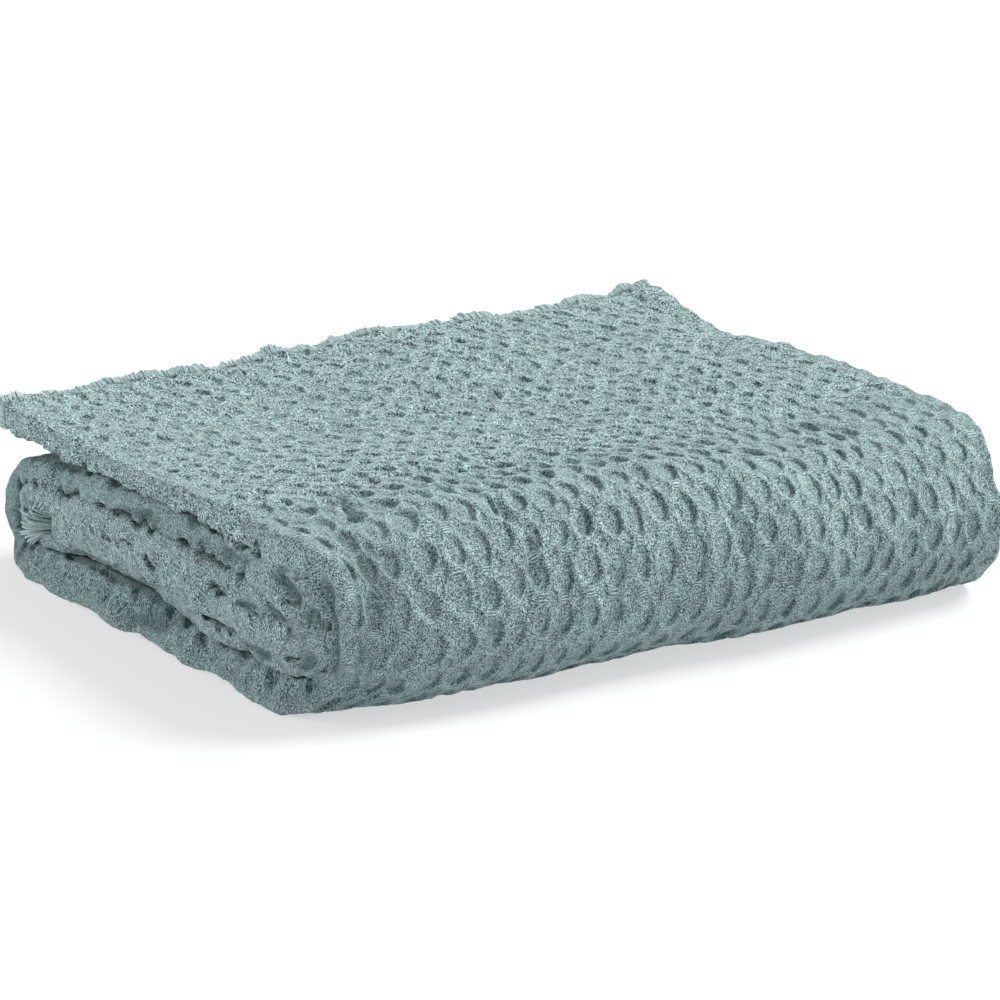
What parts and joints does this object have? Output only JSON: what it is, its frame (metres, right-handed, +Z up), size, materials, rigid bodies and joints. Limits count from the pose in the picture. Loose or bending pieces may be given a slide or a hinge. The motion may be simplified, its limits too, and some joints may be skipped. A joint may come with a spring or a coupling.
{
  "type": "folded throw blanket",
  "caption": "Folded throw blanket of thick honeycomb-weave cotton, wrapped into a flat bundle, with a short frayed fringe at its woven ends.",
  "frame": {"origin": "middle of the underside of the bundle's bounding box", "axes": "+X along the bundle's length, between its two folded sides; +Y from the front fold to the back edge with the fringe; +Z up"},
  "size_m": [0.4386, 0.3589, 0.0949],
  "materials": {
    "honeycomb_cotton": "matt woven cotton, dusty grey-green teal",
    "frayed_cotton": "loose matt cotton yarn ends, a little paler"
  },
  "bodies": {
    "root": {"throw_cloth": "honeycomb_cotton", "fringe_outer": "frayed_cotton", "fringe_inner": "frayed_cotton"}
  },
  "joints": []
}
